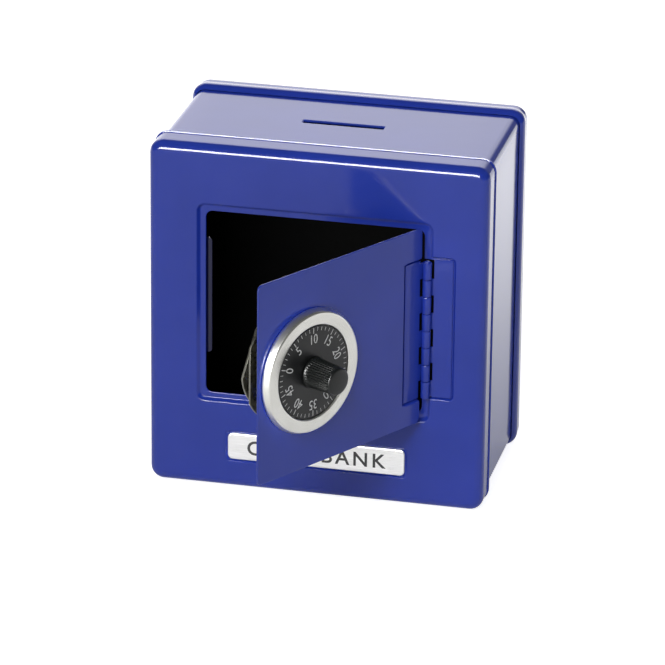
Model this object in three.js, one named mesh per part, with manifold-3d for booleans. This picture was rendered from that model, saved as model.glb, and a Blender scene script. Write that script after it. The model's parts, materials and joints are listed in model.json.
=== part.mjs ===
// Toy safe coin bank: a painted tin box with a hinged door and a three-disc combination dial.
// Millimetres. X to the right, Y to the back, Z up. The origin is on the table, under the
// middle of the front face. The door stands open, as the joints' rest position.

import * as THREE from "three";
import { mergeVertices } from "three/addons/utils/BufferGeometryUtils.js";
import Module from "manifold-3d";

const wasm = await Module();
wasm.setup();

// ---------------------------------------------------------------- driving dimensions

const sheet = 0.9;            // thickness of the painted tin
const gap = 0.3;              // clearance between neighbouring pieces

const capWidth = 150;         // front and rear pans, over their flanges
const capHeight = 159;
const beadProud = 0.5;        // curled edges of the pans beyond their flanges
const shoulderSlope = 32;     // degrees at the foot of the rear pan's rounded front edge
const bodyDepth = 88;
const capCorner = 6;
const capFillet = 4.2;        // between the front pan's face and its flange
const rearFillet = 2.8;
const frontFlange = 14.9;
const rearFlange = 12.4;
const sleeveInset = 1.7;      // sleeve's face below the pans' flanges
const baseZ = beadProud;      // underside of the flanges; the curled edges touch the table
const topZ = baseZ + capHeight;
const midZ = baseZ + capHeight / 2;

const slot = { x: 0.8, y: 46.2, length: 35.8, width: 3 };

// the shallow recess that the door closes into, and the opening inside it
const recess = { x0: -53.1, x1: 50.9, z0: 41, z1: 132.9, depth: 1.5, slope: 1.2, corner: 3.6 };
const opening = { x0: -49.5, x1: 47.2, z0: 44.6, z1: 129.3, corner: 3 };

// hinge
const hinge = { x: 49.05, y: -1, z0: 52.9, knuckle: 7.86, count: 8, radius: 1.95 };
const hingeTop = hinge.z0 + hinge.knuckle * hinge.count;
const pinRadius = 0.85;
const leaf = { thickness: 0.5, z0: 53.1, z1: 116.8, margin: 1.2, near: 2.8 };
const knuckleGap = 0.15;      // each knuckle stops this far short of its share of the axis
const leafPocket = { x1: 61.3, z0: 52, z1: 117.9, depth: 1.25, slope: 0.6 };
const doorPocket = { reach: 13.2, edge: 2.8, depth: 1.65 };
const hingeSlotReach = 51.7; // right end of the cut that the knuckles sit in

// door, measured from the hinge axis: reach along the door, depth behind the axis
const restOpening = 58.64;    // degrees
const door = { near: 2.7, far: 101.45, z0: 41.9, z1: 132, front: 0.6, corner: 2.4 };

// dial and lock, centred on the spindle; heights are outwards from the hinge axis plane
const dialReach = 72.1;
const dialZ = 86.4;
const bezel = { base: 27.6, face: 26.9, bore: 20.9, back: -0.3, floor: 0.5, top: 3.4, hole: 9 };
const dial = { radius: 20.5, top: 2.8, thickness: 1 };
const knob = { foot: 6.9, radius: 6.5, tip: 6, bottom: 3.1, top: 18.3 };
const spindleRadius = 2;
const screwCircle = 24.2;
const disc = { radius: 26, flat: 22.8, thickness: 1 };
const driveDisc = { radius: 22.7, flat: 20, turn: 22 };
const discDepths = { front: 7.5, middle: 12.2, drive: 17 };
const discWindow = { rim: 3.2, long: 9.5, point: 5.2, low: -5.4, high: 2.6, fold: 0.9, tab: 2.6 };
const windowTurns = { front: 150, middle: 35, drive: 162 };
const spindleHole = 2.3;      // bores that run on the spindle
const pilotHole = 1.3;        // clearance holes for the bezel's screws

const plate = { x0: -39.2, x1: 40.3, z0: 14.3, z1: 26.6, corner: 2.2, front: -0.2, back: 0.6 };
const strike = { x0: -58, step: -50.3, lip: -47.3, z0: 62.5, z1: 116.1, y: 2.7, setBack: 1.1 };

// ---------------------------------------------------------------- materials

function finish(color, roughness, metalness) {
  return new THREE.MeshStandardMaterial({ color, roughness, metalness });
}

const enamel = finish(0x2a348f, 0.2, 0.1);
const plated = finish(0x8b8a80, 0.35, 0.9);
const satin = finish(0xd6d6d2, 0.3, 0.9);
const black = finish(0x1c1f22, 0.45, 0.0);
const brass = finish(0xb08d4f, 0.35, 0.9);

// ---------------------------------------------------------------- solids

function toSolid(geometry) {
  const bare = geometry.index ? geometry.clone() : geometry;
  for (const name of Object.keys(bare.attributes)) {
    if (name !== "position") bare.deleteAttribute(name);
  }
  const merged = mergeVertices(bare, 1e-4);
  return new wasm.Manifold(new wasm.Mesh({
    numProp: 3,
    vertProperties: new Float32Array(merged.attributes.position.array),
    triVerts: new Uint32Array(merged.index.array),
  }));
}

function toGeometry(solid) {
  const mesh = solid.getMesh();
  const geometry = new THREE.BufferGeometry();
  geometry.setAttribute("position", new THREE.BufferAttribute(mesh.vertProperties, 3));
  geometry.setIndex(new THREE.BufferAttribute(mesh.triVerts, 1));
  return geometry;
}

function piece(name, solid, material) {
  const mesh = new THREE.Mesh(toGeometry(solid), material);
  mesh.name = name;
  return mesh;
}

// A rounded rectangle in the XZ plane as a ring of points, counter-clockwise seen from the front.
function ring(box, inset, corner, y, steps = 5) {
  const radius = Math.max(corner - inset, 0.3);
  const x0 = box.x0 + inset + radius;
  const x1 = box.x1 - inset - radius;
  const z0 = box.z0 + inset + radius;
  const z1 = box.z1 - inset - radius;
  const centres = [[x1, z0, -90], [x1, z1, 0], [x0, z1, 90], [x0, z0, 180]];
  const points = [];
  for (const [cx, cz, start] of centres) {
    for (let i = 0; i <= steps; i += 1) {
      const angle = THREE.MathUtils.degToRad(start + (90 * i) / steps);
      points.push([cx + radius * Math.cos(angle), y, cz + radius * Math.sin(angle)]);
    }
  }
  return points;
}

// A closed body through rings that run from front to back; both end rings are capped.
function loft(rings) {
  const count = rings[0].length;
  const positions = rings.flat(2);
  const index = [];
  for (let r = 0; r + 1 < rings.length; r += 1) {
    for (let i = 0; i < count; i += 1) {
      const a = r * count + i;
      const b = r * count + ((i + 1) % count);
      index.push(a, a + count, b, b, a + count, b + count);
    }
  }
  const last = (rings.length - 1) * count;
  for (let i = 1; i + 1 < count; i += 1) {
    index.push(0, i, i + 1);
    index.push(last, last + i + 1, last + i);
  }
  const geometry = new THREE.BufferGeometry();
  geometry.setAttribute("position", new THREE.Float32BufferAttribute(positions, 3));
  geometry.setIndex(index);
  return toSolid(geometry);
}

// Rings of a profile of [inset, y] pairs around a rounded rectangle.
function profileLoft(box, corner, profile, steps = 5) {
  return loft(profile.map(([inset, y]) => ring(box, inset, corner, y, steps)));
}

function slab(box, y0, y1, corner, steps = 5) {
  return profileLoft(box, corner, [[0, y0], [0, y1]], steps);
}

function block(x0, x1, y0, y1, z0, z1) {
  const geometry = new THREE.BoxGeometry(x1 - x0, y1 - y0, z1 - z0);
  geometry.translate((x0 + x1) / 2, (y0 + y1) / 2, (z0 + z1) / 2);
  return toSolid(geometry);
}

// A quarter round of the pans' front or rear edge: [inset, y] pairs from the face to the flange.
function filletProfile(radius, faceY, direction, steps, offset = 0) {
  const profile = [];
  for (let i = 0; i <= steps; i += 1) {
    const angle = (Math.PI / 2) * (i / steps);
    const inset = offset + radius * (1 - Math.sin(angle));
    profile.push([inset, faceY + direction * radius * (1 - Math.cos(angle))]);
  }
  return profile;
}

// A turned body about the Y axis from [radius, height] pairs; height points outwards, towards -Y.
function turned(profile, segments = 40) {
  const points = profile.map(([radius, height]) => new THREE.Vector2(radius, height));
  if (profile[0][0] > 0) points.push(points[0].clone());
  const geometry = new THREE.LatheGeometry(points, segments);
  geometry.scale(1, -1, 1);
  return outward(geometry);
}

// Turns a closed geometry's faces outwards where its winding came out reversed.
function outward(geometry) {
  geometry.deleteAttribute("normal");
  geometry.deleteAttribute("uv");
  const merged = mergeVertices(geometry, 1e-4);
  const p = merged.attributes.position;
  const index = merged.index.array;
  const kept = [];
  let volume = 0;
  const a = new THREE.Vector3();
  const b = new THREE.Vector3();
  const c = new THREE.Vector3();
  for (let i = 0; i < index.length; i += 3) {
    const [u, v, w] = [index[i], index[i + 1], index[i + 2]];
    if (u === v || v === w || w === u) continue;
    kept.push(u, v, w);
    volume += a.fromBufferAttribute(p, u).dot(
      b.fromBufferAttribute(p, v).cross(c.fromBufferAttribute(p, w)));
  }
  if (volume < 0) {
    for (let i = 0; i < kept.length; i += 3) [kept[i], kept[i + 1]] = [kept[i + 1], kept[i]];
  }
  merged.setIndex(kept);
  return toSolid(merged);
}

// An outline in the XZ plane made solid between two depths along Y.
function extruded(shape, y0, y1, curveSegments = 8) {
  const geometry = new THREE.ExtrudeGeometry(shape, {
    depth: y1 - y0, bevelEnabled: false, curveSegments,
  });
  geometry.rotateX(Math.PI / 2);
  geometry.translate(0, y1, 0);
  return outward(geometry);
}

function upright(radius, z0, z1, segments, x = 0, y = 0) {
  const geometry = new THREE.CylinderGeometry(radius, radius, z1 - z0, segments);
  geometry.rotateX(Math.PI / 2);
  geometry.translate(x, y, (z0 + z1) / 2);
  return toSolid(geometry);
}

// ---------------------------------------------------------------- cabinet

const capBox = { x0: -capWidth / 2, x1: capWidth / 2, z0: baseZ, z1: topZ };

function makeSleeve() {
  const inner = sleeveInset + sheet;
  const y0 = sheet + gap + 1;
  const y1 = bodyDepth - sheet - gap - 1;
  const outside = profileLoft(capBox, capCorner, [[sleeveInset, y0], [sleeveInset, y1]]);
  const inside = profileLoft(capBox, capCorner, [[inner, y0 - 1], [inner, y1 + 1]]);
  const half = slot.length / 2;
  const cut = block(slot.x - half, slot.x + half, slot.y - slot.width / 2,
    slot.y + slot.width / 2, topZ - 10, topZ + 1);
  return outside.subtract(inside).subtract(cut);
}

function makeFrontPanel() {
  const lip = sleeveInset - gap;
  const outside = profileLoft(capBox, capCorner, [
    ...filletProfile(capFillet, 0, 1, 4),
    [0, frontFlange - 1.9], [-beadProud, frontFlange - 1.3],
    [-beadProud, frontFlange - 0.5], [0, frontFlange],
  ]);
  const inside = profileLoft(capBox, capCorner, [
    ...filletProfile(capFillet - sheet, sheet, 1, 3, sheet),
    [sheet, frontFlange - 1], [lip, frontFlange - 1], [lip, frontFlange + 1],
  ]);
  const r = recess;
  const tray = profileLoft(r, r.corner, [
    [-sheet, sheet / 2], [-sheet, sheet], [r.slope - sheet, r.depth + sheet],
  ], 4);
  const trayCut = profileLoft(r, r.corner, [
    [-0.1, -0.1], [0.2, 0.3], [r.slope, r.depth],
  ], 4);
  const pocketBox = { x0: r.x1 - 4, x1: leafPocket.x1, z0: leafPocket.z0, z1: leafPocket.z1 };
  const pocket = profileLoft(pocketBox, 2, [
    [-sheet, sheet / 2], [-sheet, sheet], [leafPocket.slope - sheet, leafPocket.depth + sheet],
  ], 3);
  const pocketCut = profileLoft(pocketBox, 2, [
    [-0.1, -0.1], [leafPocket.slope, leafPocket.depth],
  ], 3);
  const plateMargin = 0.9;
  const plateBox = {
    x0: plate.x0 - plateMargin, x1: plate.x1 + plateMargin,
    z0: plate.z0 - plateMargin, z1: plate.z1 + plateMargin,
  };
  const plateTray = slab({ x0: plateBox.x0 - sheet, x1: plateBox.x1 + sheet,
    z0: plateBox.z0 - sheet, z1: plateBox.z1 + sheet }, sheet / 2, plate.back + gap + sheet, 3, 3);
  const plateCut = slab(plateBox, -1, plate.back + gap, 2.6, 3);
  const hole = slab(opening, -1, 5, opening.corner, 4);
  const hingeSlot = block(opening.x1 - 1, hingeSlotReach, -1, 5,
    hinge.z0 - 0.4, hingeTop + 0.4);
  return outside.subtract(inside)
    .add(tray).add(pocket).add(plateTray)
    .subtract(trayCut).subtract(pocketCut).subtract(plateCut)
    .subtract(hole).subtract(hingeSlot);
}

function makeRearPanel() {
  const lip = sleeveInset - gap;
  const front = bodyDepth - rearFlange;
  const shoulder = [];
  const steps = 4;
  const foot = THREE.MathUtils.degToRad(shoulderSlope);
  const radius = (lip + beadProud) / (1 - Math.sin(foot));
  for (let i = 0; i <= steps; i += 1) {
    const angle = foot + (Math.PI / 2 - foot) * (i / steps);
    shoulder.push([radius * (1 - Math.sin(angle)) - beadProud,
      front + radius * (Math.cos(foot) - Math.cos(angle))]);
  }
  const crest = front + radius * Math.cos(foot);
  const outside = profileLoft(capBox, capCorner, [
    ...shoulder, [-beadProud, crest + 1], [0, crest + 1.7],
    ...filletProfile(rearFillet, bodyDepth, -1, 4).reverse(),
  ]);
  const inside = profileLoft(capBox, capCorner, [
    [lip, front - 1], [lip, front + 1], [sheet, front + 4],
    ...filletProfile(rearFillet - sheet, bodyDepth - sheet, -1, 3, sheet).reverse(),
  ]);
  return outside.subtract(inside);
}

// The lock's keeper: a plate behind the opening's left edge whose lip the discs catch behind.
function makeStrike() {
  const s = strike;
  const back = s.y + s.setBack;
  const flange = block(s.x0, s.step, s.y, s.y + sheet, s.z0, s.z1);
  const bend = block(s.step - 1, s.step, s.y, back + sheet, s.z0, s.z1);
  const lip = slab({ x0: s.step - 4, x1: s.lip, z0: s.z0, z1: s.z1 }, back, back + sheet, 1.6, 3);
  const lipOnly = lip.intersect(block(s.step - 0.5, s.lip + 1, back - 1, back + 2, s.z0, s.z1));
  return flange.add(bend).add(lipOnly);
}

function makeNamePlate() {
  return profileLoft(plate, plate.corner, [[0.3, plate.front], [0, plate.front + 0.3],
    [0, plate.back]], 3);
}

// ---------------------------------------------------------------- hinge

// One leaf with its knuckles, about the hinge axis at x = 0, y = 0; side is +1 for the frame.
function makeLeaf(side, first, near, reach, slabBack) {
  const bore = pinRadius + gap;
  const front = slabBack - leaf.thickness;
  const sheetPart = block(Math.min(side * near, side * reach), Math.max(side * near, side * reach),
    front, slabBack, leaf.z0, leaf.z1);
  let solid = sheetPart;
  for (let i = first; i < hinge.count; i += 2) {
    const top = hingeTop - i * hinge.knuckle - knuckleGap;
    const bottom = hingeTop - (i + 1) * hinge.knuckle + knuckleGap;
    const barrel = upright(hinge.radius, bottom, top, 20);
    const tab = block(Math.min(0, side * (near + 0.5)), Math.max(0, side * (near + 0.5)),
      front, slabBack, bottom, top);
    solid = solid.add(barrel.add(tab).subtract(upright(bore, bottom - 1, top + 1, 16)));
  }
  return solid;
}

function makePin() {
  return upright(pinRadius, hinge.z0 - 0.6, hingeTop + 0.4, 16);
}

// ---------------------------------------------------------------- door and lock

// Shapes here are centred on the spindle: x across the door, y into the safe.
function makeDoorPanel() {
  const box = { x0: -door.far, x1: -door.near, z0: door.z0, z1: door.z1 };
  const back = door.front + sheet;
  const pocketBox = { x0: -doorPocket.reach, x1: -door.near + 6, z0: leafPocket.z0, z1: leafPocket.z1 };
  const under = profileLoft(pocketBox, 2, [
    [-sheet, door.front + sheet / 2], [-sheet, back],
    [leafPocket.slope - sheet, back + doorPocket.depth],
  ], 3);
  const cut = profileLoft(pocketBox, 2, [
    [-0.1, door.front - 0.1], [leafPocket.slope, door.front + doorPocket.depth],
  ], 3);
  const clear = block(-door.near, 9, -2, 6, 30, 140);
  const notch = block(-doorPocket.edge, 9, -2, 6, leafPocket.z0 - sheet, leafPocket.z1 + sheet);
  let solid = slab(box, door.front, back, door.corner, 3).add(under).subtract(cut)
    .subtract(clear).subtract(notch);
  const hole = turned([[0, -4], [4.9, -4], [4.9, 2], [0, 2]], 32);
  solid = solid.subtract(hole.translate([-dialReach, 0, dialZ]));
  for (const [x, z] of screwPlaces()) {
    const small = turned([[0, -4], [pilotHole, -4], [pilotHole, 2], [0, 2]], 16);
    solid = solid.subtract(small.translate([x - dialReach, 0, z + dialZ]));
  }
  return solid;
}

function screwPlaces() {
  return [90, 210, 330].map((degrees) => {
    const angle = THREE.MathUtils.degToRad(degrees);
    return [screwCircle * Math.cos(angle), screwCircle * Math.sin(angle)];
  });
}

function makeBezel() {
  const b = bezel;
  let solid = turned([
    [b.hole, b.back], [b.base, b.back], [b.base, b.back + 0.8], [b.face + 0.2, b.top - 0.5],
    [b.face - 0.4, b.top], [b.bore + 0.4, b.top], [b.bore, b.top - 0.4], [b.bore, b.floor],
    [b.hole, b.floor],
  ], 64);
  for (const [x, z] of screwPlaces()) {
    const blind = turned([[0, -2], [1.2, -2], [1.2, 2.3], [0, 2.3]], 12);
    solid = solid.subtract(blind.translate([x, 0, z]));
  }
  return solid;
}

function makeScrew() {
  return turned([[0, -3], [1.6, -3], [2.2, -2.5], [2.2, -1.8], [0.85, -1.8], [0.85, 2], [0, 2]], 16);
}

// A stamped lock disc with one flat, a spindle hole, a triangular window and its bent tab.
function makeDisc(radius, flat, turn, bore, depth, windowAt, tabSide) {
  const half = Math.acos(flat / radius);
  const outline = new THREE.Shape();
  outline.absarc(0, 0, radius, half, 2 * Math.PI - half, false);
  outline.closePath();
  const y0 = depth - disc.thickness / 2;
  const y1 = depth + disc.thickness / 2;
  let solid = extruded(outline, y0, y1, 48);
  solid = solid.rotate([0, 180 + turn, 0]);
  solid = solid.subtract(turned([[0, -y1 - 1], [bore, -y1 - 1], [bore, -y0 + 1], [0, -y0 + 1]], 24));
  const w = discWindow;
  const window = new THREE.Shape();
  window.moveTo(radius - w.rim, w.high);
  window.lineTo(radius - w.long, w.high);
  window.lineTo(radius - w.point, w.low);
  window.closePath();
  solid = solid.subtract(extruded(window, y0 - 1, y1 + 1).rotate([0, windowAt, 0]));
  const tabY = tabSide < 0 ? [y0 - w.tab, y0 + 0.5] : [y1 - 0.5, y1 + w.tab];
  const tab = block(radius - w.long, radius - w.rim, tabY[0], tabY[1], w.high - 0.3,
    w.high - 0.3 + w.fold);
  return solid.add(tab.rotate([0, windowAt, 0]));
}

function makeKnob() {
  const k = knob;
  const body = turned([
    [0, k.bottom], [k.foot, k.bottom], [k.foot - 0.2, k.bottom + 0.9],
    [k.radius, k.bottom + 2], [k.tip, k.top - 0.9], [k.tip - 0.9, k.top - 0.1], [0, k.top],
  ], 40);
  const bore = turned([[0, k.bottom - 1], [spindleHole, k.bottom - 1], [spindleHole, 12.3],
    [0, 12.3]], 20);
  return body.subtract(bore);
}

function collar(outer, bore, low, high, segments = 32) {
  return turned([[bore, low], [outer, low], [outer, high], [bore, high]], segments);
}

function nut(acrossFlats, bore, low, high) {
  const hex = turned([[0, low], [acrossFlats / Math.sqrt(3), low],
    [acrossFlats / Math.sqrt(3), high], [0, high]], 6);
  return hex.subtract(turned([[0, low - 1], [bore, low - 1], [bore, high + 1], [0, high + 1]], 20));
}

// ---------------------------------------------------------------- assembly

const safe = new THREE.Group();

safe.add(
  piece("body_sleeve", makeSleeve(), enamel),
  piece("front_panel", makeFrontPanel(), enamel),
  piece("rear_panel", makeRearPanel(), enamel),
  piece("strike_bracket", makeStrike(), enamel),
  piece("name_plate", makeNamePlate(), satin),
);

const frameLeafReach = leafPocket.x1 - hinge.x - leaf.margin;
const frameLeafBack = leafPocket.depth - gap - hinge.y;
const hingeFixed = new THREE.Group();
hingeFixed.position.set(hinge.x, hinge.y, 0);
hingeFixed.add(
  piece("hinge_leaf_frame", makeLeaf(1, 1, leaf.near, frameLeafReach, frameLeafBack), enamel),
  piece("hinge_pin", makePin(), enamel),
);
safe.add(hingeFixed);

const doorGroup = new THREE.Group();
doorGroup.position.set(hinge.x, hinge.y, 0);
doorGroup.rotation.z = THREE.MathUtils.degToRad(restOpening);
safe.add(doorGroup);

const doorLeafReach = doorPocket.reach - leaf.margin;
const doorLeafBack = door.front + doorPocket.depth - gap;
doorGroup.add(
  piece("door_panel", makeDoorPanel(), enamel),
  piece("hinge_leaf_door", makeLeaf(-1, 0, doorPocket.edge, doorLeafReach, doorLeafBack), enamel),
);

const lock = new THREE.Group();
lock.position.set(-dialReach, 0, dialZ);
doorGroup.add(lock);

lock.add(piece("dial_bezel", makeBezel(), satin));
screwPlaces().forEach(([x, z], i) => {
  const screw = piece(`bezel_screw_${i + 1}`, makeScrew(), plated);
  screw.position.set(x, 0, z);
  lock.add(screw);
});

const bushProfile = [[spindleHole, -4.2], [4.5, -4.2], [4.5, -0.3], [8.5, -0.3], [8.5, 0.9],
  [spindleHole, 0.9]];
lock.add(
  piece("spindle_bush", turned(bushProfile, 32), brass),
  piece("bush_nut", nut(13, 4.8, -3.8, -1.8), plated),
  piece("dial_disc", collar(dial.radius, 2.4, dial.top - dial.thickness, dial.top, 64), black),
  piece("dial_knob", makeKnob(), black),
  piece("spindle", turned([[0, -22.5], [spindleRadius, -22.5], [spindleRadius, 12], [0, 12]], 24), plated),
  piece("spacer_front", collar(5, spindleHole, -6.7, -4.5), brass),
  piece("wheel_front", makeDisc(disc.radius, disc.flat, 0, 2.4, discDepths.front,
    windowTurns.front, 1), plated),
  piece("spacer_middle", collar(5, spindleHole, -11.4, -8.3), brass),
  piece("wheel_middle", makeDisc(disc.radius, disc.flat, 0, 2.4, discDepths.middle,
    windowTurns.middle, 1), plated),
  piece("spacer_rear", collar(5, spindleHole, -16.2, -13), brass),
  piece("wheel_drive", makeDisc(driveDisc.radius, driveDisc.flat, driveDisc.turn, 2.4,
    discDepths.drive, windowTurns.drive, -1), plated),
  piece("spring_washer", collar(5.5, spindleHole, -18.8, -17.8), plated),
  piece("spindle_nut", nut(8, spindleHole, -21.8, -19.1), plated),
);

export default safe;
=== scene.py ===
# Toy safe coin bank: the finished surfaces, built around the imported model.
# Lengths in this script are millimetres; MM turns them into metres where a mesh is made.

import json
import math

import bmesh
import bpy
from mathutils import Matrix, Vector


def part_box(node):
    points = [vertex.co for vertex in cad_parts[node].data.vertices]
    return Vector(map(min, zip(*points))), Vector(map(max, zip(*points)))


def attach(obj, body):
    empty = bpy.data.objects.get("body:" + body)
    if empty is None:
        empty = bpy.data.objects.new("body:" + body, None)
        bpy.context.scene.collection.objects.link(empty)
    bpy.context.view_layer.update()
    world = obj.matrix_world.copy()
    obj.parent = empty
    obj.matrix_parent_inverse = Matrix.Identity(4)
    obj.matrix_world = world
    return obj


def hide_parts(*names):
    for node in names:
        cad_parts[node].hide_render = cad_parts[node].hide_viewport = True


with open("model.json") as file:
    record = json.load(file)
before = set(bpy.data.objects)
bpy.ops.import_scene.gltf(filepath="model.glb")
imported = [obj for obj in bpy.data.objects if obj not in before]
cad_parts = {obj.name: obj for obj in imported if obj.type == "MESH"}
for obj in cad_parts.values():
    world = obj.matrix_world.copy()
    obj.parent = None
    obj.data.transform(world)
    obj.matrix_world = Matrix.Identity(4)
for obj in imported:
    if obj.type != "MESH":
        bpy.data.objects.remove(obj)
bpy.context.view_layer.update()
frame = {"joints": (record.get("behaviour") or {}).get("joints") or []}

MM = 0.001
JOINTS = {joint["name"]: joint for joint in frame["joints"]}


def node_box(node):
    """Lowest and highest corner of a CAD node, in millimetres."""
    low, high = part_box(node)
    return low / MM, high / MM


# -------- places, from the frame

PANEL_LOW, PANEL_HIGH = node_box("front_panel")
REAR_LOW, REAR_HIGH = node_box("rear_panel")
SLEEVE_LOW, SLEEVE_HIGH = node_box("body_sleeve")
PLATE_LOW, PLATE_HIGH = node_box("name_plate")
STRIKE_LOW, STRIKE_HIGH = node_box("strike_bracket")
LEAF_LOW, LEAF_HIGH = node_box("hinge_leaf_frame")

hinge_pos = Vector(JOINTS["door_hinge"]["pos_m"])
dial_pos = Vector(JOINTS["dial_spin"]["pos_m"])
dial_axis = Vector(JOINTS["dial_spin"]["axis"])
door_turn = Matrix.Rotation(math.atan2(dial_axis.x, -dial_axis.y), 4, "Z")

HERE = Matrix.Identity(4)
HINGE_FRAME = Matrix.Translation((hinge_pos.x, hinge_pos.y, 0))
DOOR_FRAME = HINGE_FRAME @ door_turn           # x along the door, y into the safe
LOCK_FRAME = Matrix.Translation(dial_pos) @ door_turn

# -------- dimensions

BEAD = 0.5              # curled edge beyond the flange
TIN = 0.7               # visible thickness of the painted sheet
PAN = {
    "x0": PANEL_LOW.x + BEAD, "x1": PANEL_HIGH.x - BEAD,
    "z0": PANEL_LOW.z + BEAD, "z1": PANEL_HIGH.z - BEAD, "corner": 6.0,
}
FILLET = 4.2            # between the front pan's face and its flange
REAR_FILLET = 2.8       # between the rear pan's face and its flange
SHOULDER_SLOPE = 32     # degrees, at the foot of the rear pan's rounded front edge
LIP = 1.4               # the curled edge ends this far inside the flange
RECESS = {"x0": -53.1, "x1": 50.9, "z0": 41.0, "z1": 132.9, "corner": 3.6}
RECESS_DEPTH = 1.5
RECESS_IN = 1.35        # the recess's slope, inside its edge
RECESS_OUT = 0.45       # and outside it
OPENING = {"x0": -49.5, "x1": 47.2, "z0": 44.6, "z1": 129.3, "corner": 3.0}
OPENING_ROLL = 0.35     # rounding of the opening's edge
HINGE_CUT = {"x1": 51.7, "z0": 52.4, "z1": 116.3}
POCKET = {"x0": RECESS["x1"] - 4, "x1": 61.3, "z0": 52.0, "z1": 117.9, "corner": 2.0}
POCKET_DEPTH = 1.25
TRAY_MARGIN = 0.9
TRAY = {
    "x0": PLATE_LOW.x - TRAY_MARGIN, "x1": PLATE_HIGH.x + TRAY_MARGIN,
    "z0": PLATE_LOW.z - TRAY_MARGIN, "z1": PLATE_HIGH.z + TRAY_MARGIN, "corner": 2.6,
}
TRAY_DEPTH = 0.9
SLOT = {"x0": -17.1, "x1": 18.7, "y0": 44.7, "y1": 47.7}
SLOT_ROUND = 0.8        # length of the slot's rounded ends
STRIKE_STEP = -50.3     # where the strike bracket's lip begins
STRIKE_SET_BACK = 1.1   # how far the lip stands behind the bracket's foot
STRIKE_LENGTH = 53.6
STRIKE_CORNER = 1.6
PLATE_CORNER = 2.2
PLATE_EDGE = {"round": 0.55, "drop": 0.45}
PLATE_WORDS = "COIN BANK"
PLATE_WORD_HEIGHT = 6.5

DOOR = {"x0": -101.45, "x1": -2.7, "z0": 41.9, "z1": 132.0, "corner": 2.4}
DOOR_FRONT = 0.6        # depth of the door's face behind the hinge axis
DOOR_SHEET = 0.9
DOOR_EDGE = 0.3         # rounding of its cut edges
DOOR_POCKET = {"x0": -13.2, "x1": 6.0, "z0": 52.0, "z1": 117.9, "corner": 2.0}
DOOR_POCKET_DEPTH = 1.65
DOOR_NOTCH = {"z0": 51.1, "z1": 118.8, "depth": 0.1, "from": -6.0}

KNUCKLE = {"count": 8, "length": 7.86, "bottom": 52.9, "radius": 1.95, "gap": 0.17}
LEAF_THICK = 0.5
LEAF_BACK = 1.95        # depth of the leaves' back face behind the hinge axis
LEAF_NEAR = 2.8         # where the leaves' knuckle tongues begin
LEAF_REACH = {"frame": 11.05, "door": 12.0}
CURL = {"start": 90, "end": 390, "points": 29}    # degrees round the pin
PIN = {"radius": 1.3, "below": 0.6, "above": 0.4, "round": 0.6}

# -------- numbers


def runs(*parts):
    """One list of numbers from (first, last, count) runs, each evenly spaced."""
    values = []
    for first, last, count in parts:
        values += [first + (last - first) * i / max(count - 1, 1) for i in range(count)]
    return values


def blend(first, last, share):
    return first + (last - first) * share


def smoothstep(t):
    t = min(max(t, 0.0), 1.0)
    return t * t * (3 - 2 * t)


def inside(x, z, rect):
    """How far a point lies inside a rounded rectangle; negative outside."""
    corner = rect["corner"]
    qx = abs(x - (rect["x0"] + rect["x1"]) / 2) - (rect["x1"] - rect["x0"]) / 2 + corner
    qz = abs(z - (rect["z0"] + rect["z1"]) / 2) - (rect["z1"] - rect["z0"]) / 2 + corner
    outer = math.hypot(max(qx, 0), max(qz, 0))
    return corner - outer - min(max(qx, qz), 0)


def press_depth(x, z, rect, depth, outside=0.15, slope=0.8):
    """How deep a pocket is pressed in at a point; its wall begins a little outside its outline."""
    return depth * smoothstep((inside(x, z, rect) + outside) / slope)


def side_values(start, end, fixed, pad=3, plain=14):
    """Points between two corners: evenly spaced, or a fixed list with a few points to either side."""
    if fixed is None:
        return runs((start, end, plain + 2))[1:-1]
    before = runs((start, fixed[0], pad + 2))[1:-1]
    after = runs((fixed[-1], end, pad + 2))[1:-1]
    return before + fixed + after


def rect_ring(rect, grow, y, knots=None):
    """A rounded rectangle in the XZ plane, grown by some millimetres, counter-clockwise from the front."""
    knots = knots or {}
    radius = max(rect["corner"] + grow, 0.25)
    x0, x1 = rect["x0"] - grow + radius, rect["x1"] + grow - radius
    z0, z1 = rect["z0"] - grow + radius, rect["z1"] + grow - radius
    ring = [(x, y, z0 - radius) for x in side_values(x0, x1, knots.get("bottom"))]
    ring += arc(x1, z0, radius, -90, y)
    ring += [(x1 + radius, y, z) for z in side_values(z0, z1, knots.get("right"))]
    ring += arc(x1, z1, radius, 0, y)
    ring += [(x, y, z1 + radius) for x in side_values(x1, x0, knots.get("top"))]
    ring += arc(x0, z1, radius, 90, y)
    ring += [(x0 - radius, y, z) for z in side_values(z1, z0, knots.get("left"))]
    ring += arc(x0, z0, radius, 180, y)
    return ring


def arc(cx, cz, radius, start, y, steps=8):
    """A quarter circle in the XZ plane, from a starting angle in degrees."""
    angles = [math.radians(start + 90 * i / steps) for i in range(steps + 1)]
    return [(cx + radius * math.cos(a), y, cz + radius * math.sin(a)) for a in angles]


def quarter(steps):
    """Sine and cosine along a quarter turn."""
    angles = [math.pi / 2 * i / steps for i in range(steps + 1)]
    return [(math.sin(a), math.cos(a)) for a in angles]


def rounded(profile, radius, steps=4, closed=True):
    """A profile whose corners are rounded off, each over less than half of its shorter side."""
    count = len(profile)
    result = []
    for i, corner in enumerate(profile):
        here = Vector(corner)
        if not closed and i in (0, count - 1):
            result.append(tuple(here))
            continue
        back = Vector(profile[i - 1]) - here
        on = Vector(profile[(i + 1) % count]) - here
        a = here + back.normalized() * min(radius, back.length * 0.45)
        b = here + on.normalized() * min(radius, on.length * 0.45)
        for s in range(steps + 1):
            t = s / steps
            result.append(tuple(a * (1 - t) ** 2 + here * 2 * t * (1 - t) + b * t * t))
    return result


# -------- meshes and pieces


WELD = 1e-7             # metres; points nearer than this become one


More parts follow.
